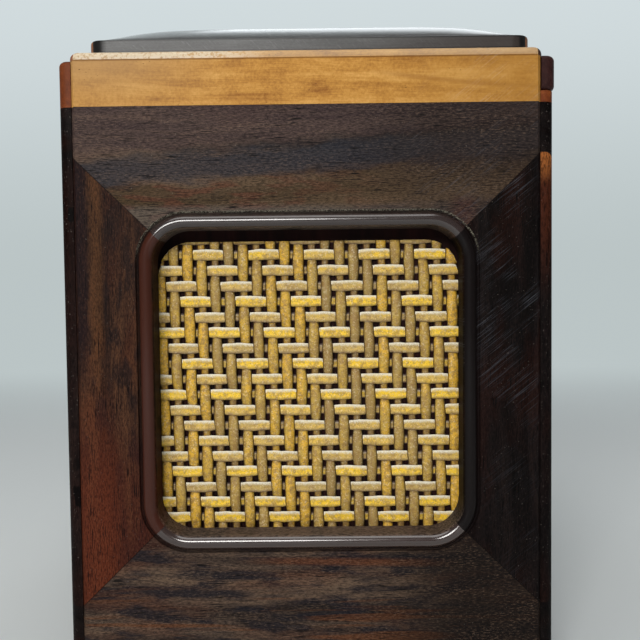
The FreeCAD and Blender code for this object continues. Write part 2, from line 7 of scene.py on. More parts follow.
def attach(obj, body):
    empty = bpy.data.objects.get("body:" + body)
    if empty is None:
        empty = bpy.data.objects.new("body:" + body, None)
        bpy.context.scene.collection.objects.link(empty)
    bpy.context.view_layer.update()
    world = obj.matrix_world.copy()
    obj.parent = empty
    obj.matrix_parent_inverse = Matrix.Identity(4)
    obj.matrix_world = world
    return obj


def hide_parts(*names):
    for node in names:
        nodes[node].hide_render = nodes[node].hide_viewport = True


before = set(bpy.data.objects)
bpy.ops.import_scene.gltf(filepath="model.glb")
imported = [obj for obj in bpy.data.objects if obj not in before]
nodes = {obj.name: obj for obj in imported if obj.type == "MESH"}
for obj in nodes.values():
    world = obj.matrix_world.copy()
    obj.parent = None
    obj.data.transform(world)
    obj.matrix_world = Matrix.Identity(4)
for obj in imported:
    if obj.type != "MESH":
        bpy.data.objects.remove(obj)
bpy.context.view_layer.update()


# The four mitred rails and stiles of each wall. They are cut from dark, oily rosewood with black ink lines,
# open pores and some redder boards, glued at the mitres and rubbed to a satin lacquer. A half-round bead with
# a thin groove round it is worked along the window's edge.
class Tone:
    """A number, colour or direction that changes over a piece, held as one socket of its finish."""

    def __init__(self, tree, socket=None):
        self.tree = tree
        self.socket = socket

    def add(self, kind, settings=None, values=None, out=0):
        """Adds a node: its settings first, then the values or links of its sockets."""
        made = self.tree.nodes.new(kind)
        for key, value in (settings or {}).items():
            if key == "stops":
                ramp = made.color_ramp
                while len(ramp.elements) < len(value):
                    ramp.elements.new(0.5)
                for element, (place, colour) in zip(ramp.elements, value):
                    element.position = place
                    element.color = (*colour, 1.0)
            else:
                setattr(made, key, value)
        for key, value in (values or {}).items():
            if isinstance(value, Tone):
                self.tree.links.new(value.socket, made.inputs[key])
            else:
                made.inputs[key].default_value = value
        return Tone(self.tree, made.outputs[out] if made.outputs else None)

    def math(self, operation, *terms):
        return self.add("ShaderNodeMath", {"operation": operation}, dict(enumerate(terms)))

    def __add__(self, other):
        return self.math("ADD", self, other)

    def __radd__(self, other):
        return self.math("ADD", other, self)

    def __sub__(self, other):
        return self.math("SUBTRACT", self, other)

    def __rsub__(self, other):
        return self.math("SUBTRACT", other, self)

    def __mul__(self, other):
        return self.math("MULTIPLY", self, other)

    def __rmul__(self, other):
        return self.math("MULTIPLY", other, self)

    def __truediv__(self, other):
        return self.math("DIVIDE", self, other)

    def __pow__(self, other):
        return self.math("POWER", self, other)

    def __abs__(self):
        return self.math("ABSOLUTE", self)

    def least(self, other):
        return self.math("MINIMUM", self, other)

    def most(self, other):
        return self.math("MAXIMUM", self, other)

    def step(self, low, high):
        """0 below low, 1 above high and smooth between; the other way round if low is the higher."""
        return self.add("ShaderNodeMapRange", {"interpolation_type": "SMOOTHSTEP"},
                        {"Value": self, "From Min": low, "From Max": high})

    def ramp(self, *stops):
        """A colour for this number, blended between stops of a number and a colour."""
        return self.add("ShaderNodeValToRGB", {"stops": stops}, {"Fac": self})

    def mix(self, other, share):
        """This colour changed towards another one by a share."""
        other = (*other, 1.0) if isinstance(other, tuple) else other
        return self.add("ShaderNodeMix", {"data_type": "RGBA"}, {0: share, 6: self, 7: other}, out=2)

    def point(self, x, y, z):
        return self.add("ShaderNodeCombineXYZ", None, {0: x, 1: y, 2: z})

    def parts(self):
        """The x, y and z of this place or direction."""
        split = self.add("ShaderNodeSeparateXYZ", None, {0: self}).socket.node
        return [Tone(self.tree, socket) for socket in split.outputs]

    def noise(self, scale, detail=2.0, rough=0.5):
        return self.add("ShaderNodeTexNoise", None,
                        {"Vector": self, "Scale": scale, "Detail": detail, "Roughness": rough})

    def bump(self, strength, distance):
        return self.add("ShaderNodeBump", None,
                        {"Strength": strength, "Distance": distance, "Height": self})


MILLIMETRE = 0.001


class Finish(Tone):
    """The finish of one kind of piece, started from its place on the piece in millimetres."""

    def __init__(self, name):
        self.material = bpy.data.materials.new(name)
        self.material.use_nodes = True
        self.material.node_tree.nodes.clear()
        super().__init__(self.material.node_tree)
        place = self.add("ShaderNodeTexCoord", out="Object")
        self.place = self.add("ShaderNodeVectorMath", {"operation": "SCALE"},
                              {0: place, "Scale": 1.0 / MILLIMETRE})
        self.x, self.y, self.z = self.place.parts()

    def shine(self, colour, rough, normal, **sockets):
        """Ends the finish. The other sockets are named as on the shader, with _ for a space."""
        values = {"Base Color": colour, "Roughness": rough, "Normal": normal}
        values.update({key.replace("_", " "): value for key, value in sockets.items()})
        skin = self.add("ShaderNodeBsdfPrincipled", None, values)
        self.add("ShaderNodeOutputMaterial", None, {"Surface": skin})
        return self.material


def shaded(colour, share):
    """A colour made darker by a share below one, or paler by one above it."""
    return tuple(value * share for value in colour)


def dress(node, finish):
    """Gives a CAD piece its finish."""
    nodes[node].data.materials.clear()
    nodes[node].data.materials.append(finish)


RING_MIDDLE = 78.5
RING_HALF = 41.0
RING_CORNER = 11.5
GROOVE_MIDDLE = 0.35
GROOVE_LIP = 0.72
BEAD_INSIDE = -3.05
OPENING_WALL = -3.22
MITRE_SLOPE = 1.025


def ring_distance(finish, across):
    """Millimetres out from the bead's outer edge, negative inside it, on a wall's face."""
    bend = RING_HALF - RING_CORNER
    over_x = abs(across) - bend
    over_z = abs(finish.z - RING_MIDDLE) - bend
    corner = (over_x.most(0.0) ** 2.0 + over_z.most(0.0) ** 2.0) ** 0.5
    return corner + over_x.most(over_z).least(0.0) - RING_CORNER


def moulding(finish, across, colour, lines, stipple, bead_tone):
    """Tints the mitres' joints and the bead, paints shade into the groove round it and a highlight on its
    lip, and paints light on the opening's sill. Gives the colour and where the bead is."""
    joint = abs(abs(finish.z - RING_MIDDLE) * MITRE_SLOPE - abs(across)).step(0.22, 0.08)
    colour = colour.mix((0.003, 0.002, 0.002), joint * 0.7)
    rim = ring_distance(finish, across)
    on_bead = rim.step(0.1, -0.4) * rim.step(OPENING_WALL, BEAD_INSIDE)
    colour = colour.mix(bead_tone, on_bead * (0.85 + lines * 0.2))
    # Painted shade: the groove round the bead is darkened almost to black, where shade falls in it.
    groove_shade = abs(rim - GROOVE_MIDDLE).step(0.6, 0.3)
    colour = colour.mix((0.004, 0.002, 0.002), groove_shade * 0.7)
    # Painted light: the opening's bottom sill is painted a paler grey-brown, as if lit from above.
    lit_sill = rim.step(BEAD_INSIDE, OPENING_WALL) * finish.z.step(50.0, 42.0)
    colour = colour.mix((0.17, 0.125, 0.095), lit_sill * stipple.step(0.36, 0.64) * 0.7)
    # Painted highlight: a broken pale line of sparkles on the groove's lip, above the bead's top run only.
    painted_glint = abs(rim - GROOVE_LIP).step(0.24, 0.06) * finish.z.step(108.0, 115.0)
    painted_glint = painted_glint * finish.place.noise(2.6, 2.0, 0.8).step(0.46, 0.6)
    return colour.mix((0.42, 0.39, 0.30), painted_glint * 0.7), on_bead


def hairlines(finish, across, seed):
    """Long, fine rubbing marks that climb to the right over a wall's face, in patches."""
    over = (across * 0.62 - finish.z * 0.78) / 0.13
    along = (across * 0.78 + finish.z * 0.62) / 16.0
    marks = finish.point(over, along, seed).noise(1.0, 2.0, 0.7).step(0.56, 0.68)
    patch = finish.point(across / 12.0, finish.z / 12.0, seed + 3.0).noise(1.0, 2.0).step(0.38, 0.6)
    return marks * patch * across.step(8.0, 40.0)


def rosewood(name, upright, facing, tones, seed, red, dust, scratch, bead_tone, bead_coat, touch):
    """Dark timber with its grain along one axis. tones run from the black lines to the palest streaks; red,
    dust and scratch say how much of each the board shows; touch adds what only this board has."""
    finish = Finish(name)
    across, depth = (finish.x, finish.y) if facing == "Y" else (finish.y, finish.x)
    length, width = (finish.z, across) if upright else (across, finish.z)
    black, dark, middle, pale = tones
    sway = finish.point(length / 55.0 + seed, width / 14.0, depth / 14.0).noise(1.0, 3.0) - 0.5
    drift = finish.point(length / 16.0, width / 5.0, depth / 5.0 + seed).noise(1.0, 2.0) - 0.5
    growth = width + depth * 0.6 + sway * 12.0 + drift * 1.6
    bands = finish.point(growth / 5.2 + seed, length / 110.0, depth / 200.0).noise(1.0, 3.0, 0.55)
    lines = finish.point(growth / 0.8, length / 60.0 + seed, depth / 90.0).noise(1.0, 3.0, 0.7)
    fibre = finish.point(length / 4.0, width / 0.28 + sway * 9.0, depth / 0.5 + seed).noise(1.0, 3.0, 0.65)
    shade = bands * 0.6 + lines * 0.22 + fibre * 0.18
    colour = shade.ramp((0.38, black), (0.46, dark), (0.53, middle), (0.62, pale))
    blush = finish.point(length / 30.0, width / 9.0 + seed, depth / 20.0).noise(1.0, 2.0)
    colour = colour.mix((0.085, 0.018, 0.007), blush.step(0.44, 0.66) * red)
    if touch is not None:
        colour = touch(finish, colour, across)
    stipple = finish.point(length / 1.1, width / 0.3, depth / 0.4 + seed).noise(1.0, 3.0, 0.75)
    rub = finish.point(length / 20.0, width / 3.0, depth / 9.0 + seed).noise(1.0, 2.0).step(0.4, 0.62)
    colour = colour.mix(black, stipple.step(0.54, 0.38) * 0.6)
    colour = colour.mix(shaded(pale, 1.5), stipple.step(0.51, 0.68) * (rub * 0.6 + 0.4) * 0.45)
    ink = finish.point(length / 5.0 + seed, width / 0.3 + sway * 7.0, seed).noise(1.0, 1.0, 0.5)
    where = finish.point(length / 14.0, width / 5.0, seed + 4.0).noise(1.0, 1.0).step(0.44, 0.58)
    colour = colour.mix(black, ink.step(0.59, 0.65) * where * 0.9)
    pores = finish.point(length / 2.6 + sway * 3.0, width / 0.17, depth / 0.3 + seed).noise(1.0, 2.0, 0.5)
    open_pore = pores.step(0.6, 0.7)
    colour = colour.mix(black, open_pore * 0.6)
    sparkle = finish.place.noise(2.4, 1.0, 0.5).step(0.7, 0.76)
    colour = colour.mix((0.20, 0.17, 0.15), sparkle * dust)
    colour, on_bead = moulding(finish, across, colour, lines, stipple, bead_tone)
    rough = 0.46 + fibre * 0.12 + open_pore * 0.1
    relief = (fibre * 0.4 + lines * 0.3 + stipple * 0.3 - open_pore * 0.8) * (1.0 - on_bead * 0.85)
    if scratch:
        marks = hairlines(finish, across, seed) * (finish.z.step(58.0, 100.0) * 0.8 + 0.2) * (1.0 - on_bead)
        colour = colour.mix((0.085, 0.090, 0.105), marks * scratch)
        rough = rough + marks * 0.12
    return finish.shine(colour, rough, relief.bump(0.3, 0.00012), Specular_IOR_Level=0.04,
                        Coat_Weight=on_bead * bead_coat, Coat_Roughness=0.18, Coat_IOR=1.8)


BLACK_TONES = ((0.006, 0.005, 0.005), (0.028, 0.020, 0.017), (0.070, 0.048, 0.036), (0.125, 0.082, 0.056))
BROWN_TONES = ((0.005, 0.003, 0.003), (0.017, 0.009, 0.007), (0.036, 0.017, 0.011), (0.085, 0.037, 0.019))
EBONY_TONES = ((0.0015, 0.001, 0.001), (0.004, 0.0028, 0.0028), (0.007, 0.005, 0.005), (0.014, 0.009, 0.008))


def smoky_rail(finish, colour, across):
    """The front's top rail: a blue-grey band that climbs to the right, and olive brown with red below it. A
    painted sheen lies just above the window at the left, and painted shade darkens the rail towards the
    right.
    """
    waver = finish.point(across / 11.0, finish.z / 3.0, 6.0).noise(1.0, 3.0, 0.6) - 0.5
    climb = finish.z - across * 0.065 + waver * 7.0
    colour = colour.mix((0.078, 0.048, 0.050), climb.step(136.0, 139.0) * 0.45)
    smoke = climb.step(128.5, 131.5) * climb.step(138.0, 134.5)
    colour = colour.mix((0.024, 0.028, 0.038), smoke * 0.75)
    low = climb.step(130.0, 127.5) * climb.step(118.5, 121.0)
    colour = colour.mix((0.095, 0.058, 0.026), low * 0.6)
    patch = finish.point(across / 9.0, finish.z / 2.0, 3.0).noise(1.0, 2.0).step(0.47, 0.6)
    patch = patch * climb.step(130.0, 127.5) * across.step(30.0, -20.0)
    colour = colour.mix((0.11, 0.035, 0.020), patch * 0.55)
    # Painted sheen: a paler grey band just above the window on the left, where the main lamp's reflection
    # falls.
    painted_sheen = finish.z.step(122.5, 120.5) * across.step(45.0, -5.0)
    colour = colour.mix((0.12, 0.105, 0.095), painted_sheen * 0.5)
    ember = abs(across - 38.0).step(4.5, 1.0) * finish.z.step(124.5, 121.0)
    colour = colour.mix((0.075, 0.022, 0.016), ember * 0.6)
    # Painted shade: the rail is darkened towards the right, away from the main lamp, most of all at its upper
    # right.
    dim = across.step(5.0, 35.0) * climb.step(124.0, 129.0)
    colour = colour.mix((0.020, 0.014, 0.012), dim * 0.5)
    return colour.mix((0.030, 0.020, 0.017), across.step(5.0, 48.0) * 0.5)


def red_foot(finish, colour, across):
    """The left stile is brown above, with an orange streak by a black one, and strongly red at its foot."""
    smudge = finish.point(across / 3.0, finish.z / 11.0, 5.0).noise(1.0, 2.0)
    colour = colour.mix((0.014, 0.009, 0.009), smudge.step(0.52, 0.38) * 0.75)
    colour = colour.mix((0.024, 0.012, 0.009), finish.z.step(90.0, 118.0) * 0.45)
    black_streak = abs(across + 55.0).step(2.2, 0.6) * finish.z.step(75.0, 90.0)
    colour = colour.mix((0.012, 0.007, 0.009), black_streak * 0.8)
    orange_streak = abs(across + 51.3).step(2.4, 0.5) * finish.z.step(70.0, 95.0)
    colour = colour.mix((0.12, 0.05, 0.018), orange_streak * 0.45)
    foot = finish.z.step(88.0, 38.0) * across.step(-44.5, -51.0)
    colour = colour.mix((0.085, 0.017, 0.009), finish.z.step(76.0, 45.0) * 0.5)
    return colour.mix((0.125, 0.028, 0.012), foot * 0.7)


def cloudy_rail(finish, colour, across):
    """The front's bottom rail: dark clouds along the grain, with brown and a few red streaks between, and
    painted shade that darkens it towards the right.
    """
    cloud = finish.point(across / 16.0, finish.z / 3.6, 8.0).noise(1.0, 3.0, 0.6).step(0.45, 0.6)
    colour = colour.mix((0.013, 0.013, 0.018), cloud * 0.85)
    streak = finish.point(across / 40.0, finish.z / 1.6, 2.0).noise(1.0, 2.0).step(0.52, 0.62)
    colour = colour.mix((0.13, 0.045, 0.016), streak * finish.z.step(36.0, 16.0) * 0.6)
    flame = abs(finish.z - 34.3 + across * 0.02).step(1.4, 0.3) * abs(across - 10.0).step(30.0, 12.0)
    colour = colour.mix((0.15, 0.05, 0.02), flame * 0.6)
    blush = abs(finish.z - 41.8).step(2.0, 0.4) * abs(across - 34.0).step(12.0, 4.0)
    colour = colour.mix((0.075, 0.025, 0.016), blush * 0.6)
    # Painted shade: the rail is darkened towards the right, away from the main lamp.
    return colour.mix((0.010, 0.007, 0.006), across.step(8.0, 40.0) * 0.9)


def orange_head(finish, colour, across):
    """The right wall's front stile is orange at its head and almost black below."""
    head = across.step(-50.0, -55.0)
    colour = colour.mix((0.07, 0.018, 0.008), finish.z.step(96.0, 122.0) * head * 0.8)
    flame = finish.point(across / 3.0, finish.z / 12.0, 1.0).noise(1.0, 2.0) * 9.0
    return colour.mix((0.34, 0.11, 0.028), (finish.z + flame).step(129.0, 138.0) * head)


TOUCHES = {"front_top_rail": smoky_rail, "front_left_stile": red_foot, "front_bottom_rail": cloudy_rail,
           "right_left_stile": orange_head}
EBONY_PARTS = ("left_top_rail", "left_right_stile", "left_bottom_rail", "right_top_rail", "right_left_stile",
               "right_bottom_rail")
for side, facing, seed in (("front", "Y", 2.0), ("right", "X", 11.0),
                           ("back", "Y", 23.0), ("left", "X", 37.0)):
    for part, upright, tones, shift, red, dust, scratch, bead_tone, bead_coat in (
            ("top_rail", False, BLACK_TONES, 0.0, 0.1, 0.5, 0.5, (0.026, 0.015, 0.013), 0.85),
            ("bottom_rail", False, BLACK_TONES, 5.0, 0.3, 0.3, 0.0, (0.032, 0.016, 0.013), 1.0),
            ("left_stile", True, BROWN_TONES, 9.0, 0.3, 0.3, 0.0, (0.050, 0.014, 0.008), 0.2),
            ("right_stile", True, EBONY_TONES, 13.0, 0.1, 0.4, 0.9, (0.006, 0.004, 0.004), 0.1)):
        node = f"{side}_{part}"
        if node in EBONY_PARTS:
            tones, red = EBONY_TONES, 0.1
        dress(node, rosewood(f"{node}_wood", upright, facing, tones, seed + shift, red, dust, scratch,
                             bead_tone, bead_coat, TOUCHES.get(node)))


# The top and base bands, glued with a lap at each corner. The front and back ones are of a pale honey wood
# with a straight, fine grain; the side ones are of red-brown wood. Each top band carries the set-back rim
# that the lid sits on.
RIM_FOOT = 157.3
RIM_CREASE = 156.95


def band_wood(name, along, tones, seed):
    """tones: the grain's dark, middle and pale colours, a pink for the painted sheen at the left, and the
    cream of the painted highlight on the rim.
    """
    finish = Finish(name)
    length, depth = (finish.x, finish.y) if along == "X" else (finish.y, finish.x)
    width = finish.z
    dark, middle, pale, pink_sheen, cream = tones
    sway = finish.point(length / 70.0, width / 10.0 + seed, depth / 12.0).noise(1.0, 2.0) - 0.5
    growth = width + depth * 0.5 + sway * 6.0 + length * 0.03
    bands = finish.point(growth / 2.6, length / 60.0, seed).noise(1.0, 3.0, 0.6)
    fibre = finish.point(length / 5.0, growth / 0.22, depth / 0.4 + seed).noise(1.0, 3.0, 0.6)
    cloud = finish.point(length / 9.0 + seed, width / 5.0, depth / 9.0).noise(1.0, 3.0, 0.6)
    stipple = finish.place.noise(1.3, 3.0, 0.7)
    shade = bands * 0.3 + fibre * 0.15 + cloud * 0.3 + stipple * 0.25
    colour = shade.ramp((0.39, dark), (0.5, middle), (0.61, pale))
    past = length - 22.0
    streak = abs(width - 152.5 + past * 0.14 - past ** 2.0 * 0.0012).step(0.9, 0.1)
    colour = colour.mix(dark, streak * length.step(12.0, 26.0) * 0.5)
    # Painted sheen: the left part is pinker and paler, most near the top, where the main lamp's reflection
    # falls.
    colour = colour.mix(pink_sheen, length.step(-10.0, -50.0) * (width.step(146.0, 157.0) * 0.4 + 0.25))
    # Painted shade: darker towards the right, away from the main lamp.
    colour = colour.mix(shaded(middle, 0.68), length.step(5.0, 60.0) * 0.6)
    specks = finish.point(length / 0.7, width / 0.4, depth / 0.5 + seed).noise(1.0, 2.0, 0.6)
    where = finish.point(length / 9.0, width / 4.0, seed).noise(1.0, 2.0).step(0.5, 0.68)
    colour = colour.mix(shaded(dark, 0.2), specks.step(0.64, 0.72) * where * 0.9)
    # Painted shade in the crease where the rim stands on the band.
    crease_shade = abs(width - RIM_CREASE).step(0.6, 0.2)
    colour = colour.mix(shaded(dark, 0.5), crease_shade * 0.75)
    above = width.step(RIM_FOOT, RIM_FOOT + 0.6)
    # Painted highlight: the rim is paler cream all along, and nearly cream in uneven patches at the left,
    # where light catches its rounded edge.
    rub_marks_and_rim_highlight = above * length.step(2.0, -25.0) * stipple.step(0.33, 0.52)
    colour = colour.mix(cream, (rub_marks_and_rim_highlight * 0.85).most(above * 0.3))
    if along == "X":
        marks = hairlines(finish, length, seed) * length.step(20.0, 40.0)
        colour = colour.mix((0.62, 0.52, 0.42), marks * 0.35)
    rough = 0.42 + fibre * 0.14 + cloud * 0.08
    relief = fibre + stipple * 0.5
    return finish.shine(colour, rough, relief.bump(0.25, 0.00008), Specular_IOR_Level=0.12,
                        Coat_Weight=rub_marks_and_rim_highlight * 0.35, Coat_Roughness=0.3)


HONEY = ((0.27, 0.10, 0.014), (0.49, 0.23, 0.042), (0.66, 0.355, 0.095), (0.42, 0.25, 0.11),
         (0.72, 0.62, 0.46))
RUSSET = ((0.05, 0.010, 0.003), (0.15, 0.034, 0.009), (0.27, 0.072, 0.016), (0.16, 0.04, 0.012),
          (0.34, 0.14, 0.07))
for side, along, tones, seed in (("front", "X", HONEY, 11.0), ("right", "Y", RUSSET, 22.0),
                                 ("back", "X", HONEY, 35.0), ("left", "Y", RUSSET, 49.0)):
    for part, shift in (("top_band", 0.0), ("base_band", 1.0)):
        dress(f"{side}_{part}", band_wood(f"{side}_{part}_wood", along, tones, seed + shift))


# The backing boards and the bottom board: thin, plain boards glued in from inside, coloured near-black
# red-brown, partly as a dark stain and partly as painted shade. They show only through the holes of the weave
# and in the gap above it, where that near-black stands in for the shade that falls there.
def stained_and_shaded_board(name, seed):
    finish = Finish(name)
    grain = finish.point(finish.x / 3.0, finish.y / 3.0 + seed, finish.z / 30.0).noise(1.0, 4.0, 0.6)
    # Near-black: partly a dark stain, partly painted shade for the holes of the weave and the gap above it.
    colour = grain.ramp((0.35, (0.007, 0.0022, 0.002)), (0.65, (0.022, 0.006, 0.005)))
    return finish.shine(colour, 0.62 + grain * 0.15, grain.bump(0.3, 0.0001), Specular_IOR_Level=0.1)


for name, seed in (("front_backing_board", 1.0), ("right_backing_board", 2.0), ("back_backing_board", 3.0),
                   ("left_backing_board", 4.0), ("bottom_board", 5.0)):
    dress(name, stained_and_shaded_board(f"{name}_stain", seed))


# The woven sheet of each wall: split bamboo in a two-by-two twill, lacquered straw-gold. Each strip is domed
# on its face and dips under its neighbours two at a time; shade is painted in where it dips. The sheet is cut
# straight along its top with rounded corners, and held in the frame's rabbet by the backing board.
WINDOW_HALF = 37.75
SHEET_TOP = 34.95
SHEET_CORNER = 8.1
SHEET_REACH = 40.3
SHEET_PLANE = 53.3
STRIP_STEPS = 134
ROUND_STEPS = 11
DOME_POWER = 0.75


class Plan(Tone):
    """The plan of the weave: a tree that makes its strips from named sizes."""

    def __init__(self, name, sizes):
        super().__init__(bpy.data.node_groups.new(name, "GeometryNodeTree"))
        self.keys = {}
        for label, value in sizes.items():
            socket = self.tree.interface.new_socket(label, in_out="INPUT", socket_type="NodeSocketFloat")
            socket.default_value = value
            self.keys[label] = socket.identifier
        self.tree.interface.new_socket("Geometry", in_out="OUTPUT", socket_type="NodeSocketGeometry")
        self.sizes = self.tree.nodes.new("NodeGroupInput")

    def size(self, label):
        return Tone(self.tree, self.sizes.outputs[label])

    def name(self, geometry, label, value):
        return self.add("GeometryNodeStoreNamedAttribute", {"data_type": "FLOAT", "domain": "POINT"},
                        {"Geometry": geometry, "Name": label, "Value": value})

    def named(self, label):
        return self.add("GeometryNodeInputNamedAttribute", {"data_type": "FLOAT"}, {"Name": label})


def domed(turn):
    """The sine-like side of a strip's section, squared off by a power below one."""
    return turn.math("SIGN", turn) * abs(turn) ** DOME_POWER


def rounded(past):
    """How far a rounded corner of the sheet still reaches, at a distance past the start of its arc."""
    past = past.most(0.0).least(SHEET_CORNER)
    return (SHEET_CORNER ** 2 - past * past).most(0.0) ** 0.5


def outline(distance):
    """Height of the sheet's cut edge at a distance from its middle: straight, then a rounded corner."""
    return SHEET_TOP - SHEET_CORNER + rounded(abs(distance) - (WINDOW_HALF - SHEET_CORNER))


def plain_ribbons(plan, count, first):
    """One flat ribbon for each strip, with its strip's number and its two own directions by name."""
    ribbon = plan.add("GeometryNodeMeshGrid", None, {"Size X": 1.0, "Size Y": 1.0,
                                                     "Vertices X": STRIP_STEPS, "Vertices Y": ROUND_STEPS})
    along, around, _ = plan.add("GeometryNodeInputPosition").parts()
    ribbon = plan.name(ribbon, "along", along)
    ribbon = plan.name(ribbon, "around", around)
    rows = plan.add("GeometryNodeMeshLine", {"mode": "OFFSET"}, {"Count": count})
    rows = plan.name(rows, "strip", plan.add("GeometryNodeInputIndex") + first)
    strips = plan.add("GeometryNodeInstanceOnPoints", None, {"Points": rows, "Instance": ribbon})
    return plan.add("GeometryNodeRealizeInstances", None, {"Geometry": strips})


def strip_set(plan, kind, count, first):
    """All strips of one direction, as closed domed ribbons that wave over and under the others."""
    upright = kind == "upright"
    strips = plain_ribbons(plan, count, first)
    strip, along, around = (plan.named(label) for label in ("strip", "along", "around"))
    upright_pitch, upright_offset, lean, level_pitch, level_offset, fall = (plan.size(label) for label in (
        "Upright Pitch", "Upright Offset", "Upright Lean", "Level Pitch", "Level Offset", "Level Fall"))
    width = plan.size("Upright Width" if upright else "Level Width")
    seed = plan.size("Seed") + (0.0 if upright else 50.0)
    chance = plan.point(strip * 7.3, seed, 0.5).noise(1.0, 0.0)
    if upright:
        middle = upright_offset + strip * upright_pitch + (chance - 0.5) * 0.5
        low, high = -SHEET_REACH, outline((abs(middle) - width / 2.0).most(0.0))
    else:
        middle = level_offset - strip * level_pitch + (chance - 0.5) * 0.25
        past = middle - width / 2.0 - (SHEET_TOP - SHEET_CORNER)
        full = past.math("LESS_THAN", past, 0.001)
        high = WINDOW_HALF - SHEET_CORNER + rounded(past) + full * (SHEET_REACH - WINDOW_HALF)
        low = high * -1.0
    last = STRIP_STEPS - 3.0
    share = ((along + 0.5) * (STRIP_STEPS - 1.0) - 1.0).most(0.0).least(last) / last
    run = low + (high - low) * share
    if upright:
        phase = strip - (level_offset - middle * fall - run) / level_pitch
    else:
        phase = (run - upright_offset + middle * lean) / upright_pitch - strip
    swing = (phase - 0.5) * (math.pi / 2.0)
    swing = swing.math("COSINE", swing) * (-1.0 if upright else 1.0)
    lift = swing * 1.5 - swing * swing * swing * 0.5
    turn = around * (2.0 * math.pi)
    edge = domed(turn.math("COSINE", turn))
    to_end = 0.5 - abs(along)
    closed = to_end.math("GREATER_THAN", to_end, 0.5 / STRIP_STEPS)
    girth = width * (0.905 + lift * 0.095 + (chance - 0.5) * 0.16)
    ripple = plan.point(run / 1.9, strip * 5.1, seed).noise(1.0, 2.0, 0.5) - 0.5
    side = edge * (girth / 2.0 + ripple * 0.2) * closed
    face = turn.math("SINE", turn) * (plan.size("Thickness") / 2.0) * closed
    wander = (plan.point(run / 5.5, strip * 3.7, seed + 9.0).noise(1.0, 1.0) - 0.5) * 0.5
    across = middle + side + wander - run * (lean if upright else fall)
    back = (lift * plan.size("Wave") + face) * -1.0
    if upright:
        place = plan.point(across, back, run.least(outline(across)))
    else:
        place = plan.point(run, back, across.least(outline(run)))
    for label, value in (("edge", edge), ("lift", lift), ("chance", chance), ("run", run),
                         ("upright", 1.0 if upright else 0.0)):
        strips = plan.name(strips, label, value)
    strips = plan.add("GeometryNodeSetPosition", None, {"Geometry": strips, "Position": place})
    return plan.add("GeometryNodeMergeByDistance", None, {"Geometry": strips, "Distance": 0.002})


def weave_plan(finish):
    """One wall's sheet: both sets of strips, set out to the wall's plane and turned to its side."""
    plan = Plan("twill_weave", {
        "Upright Pitch": 3.5, "Upright Width": 2.85, "Upright Offset": 1.45, "Upright Lean": 0.0147,
        "Level Pitch": 3.935, "Level Width": 2.75, "Level Offset": 0.05, "Level Fall": 0.0055,
        "Thickness": 0.6, "Wave": 0.29, "Wall": SHEET_PLANE, "Turn": 0.0, "Seed": 0.0})
    uprights = strip_set(plan, "upright", 22, -11.0)
    levels = strip_set(plan, "level", 19, -9.0)
    sheet = plan.add("GeometryNodeJoinGeometry")
    for strips in (levels, uprights):
        plan.tree.links.new(strips.socket, sheet.socket.node.inputs[0])
    spot = plan.point(0.0, plan.size("Wall") * -MILLIMETRE, RING_MIDDLE * MILLIMETRE)
    sheet = plan.add("GeometryNodeTransform", None, {"Geometry": sheet, "Translation": spot,
                                                     "Scale": (MILLIMETRE, MILLIMETRE, MILLIMETRE)})
    sheet = plan.add("GeometryNodeTransform", None,
                     {"Geometry": sheet, "Rotation": plan.point(0.0, 0.0, plan.size("Turn"))})
    sheet = plan.add("GeometryNodeSetShadeSmooth", None, {"Geometry": sheet})
    sheet = plan.add("GeometryNodeRealizeInstances", None, {"Geometry": sheet})
    sheet = plan.add("GeometryNodeSetMaterial", None, {"Geometry": sheet, "Material": finish})
    plan.add("NodeGroupOutput", None, {0: sheet})
    return plan


